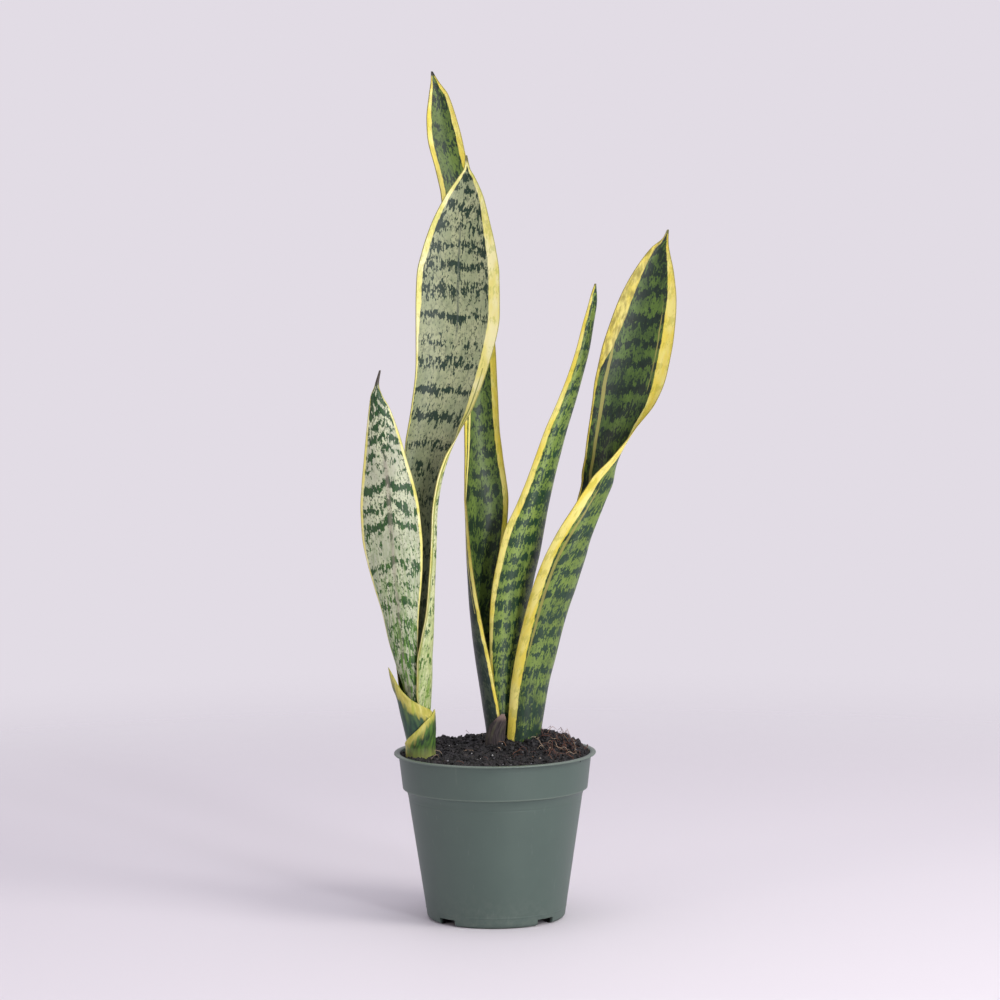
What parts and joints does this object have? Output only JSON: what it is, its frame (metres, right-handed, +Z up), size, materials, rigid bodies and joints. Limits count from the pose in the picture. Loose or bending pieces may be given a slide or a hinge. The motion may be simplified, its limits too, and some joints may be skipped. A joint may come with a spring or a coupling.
{
  "type": "potted snake plant",
  "caption": "Snake plant with upright variegated leaves in a plain tapered nursery pot with a wide band and a thin flat lip.",
  "frame": {"origin": "centre of the pot's underside, on the floor it stands on", "axes": "+Z straight up from the floor to the leaf tips, -Y towards the front of the plant, +X to the front view's right"},
  "size_m": [0.2449, 0.1572, 0.658],
  "materials": {
    "pot": "satin moulded grey-green polypropylene",
    "soil": "loose near-black potting mix with white perlite grains and brown coir fibres",
    "rhizome": "fleshy pale orange-brown rhizome, matt",
    "leaf_left_tall": "waxy leaf, pale grey-green with dark green cross bands, satin",
    "leaf_left_short": "waxy leaf, silvery with fine dark green cross bands, satin",
    "leaf_back_tall": "waxy leaf, dark green with yellow margins, satin",
    "leaf_middle_narrow": "waxy leaf, dark green with light cross bands and a yellow margin, satin",
    "leaf_right_twisted": "waxy leaf, dark green with light cross bands and yellow margins, satin",
    "sheath_left_inner": "fresh sheath leaf, dark green with a yellow margin, satin",
    "sheath_left_outer": "fresh sheath leaf, green with a yellow margin, satin",
    "sheath_right_dry": "dried sheath leaf, papery brown, matt"
  },
  "bodies": {
    "root": {"pot": "pot", "soil": "soil", "rhizome": "rhizome", "leaf_left_tall": "leaf_left_tall", "leaf_left_short": "leaf_left_short", "leaf_back_tall": "leaf_back_tall", "leaf_middle_narrow": "leaf_middle_narrow", "leaf_right_twisted": "leaf_right_twisted", "sheath_left_inner": "sheath_left_inner", "sheath_left_outer": "sheath_left_outer", "sheath_right_dry": "sheath_right_dry"}
  },
  "joints": []
}
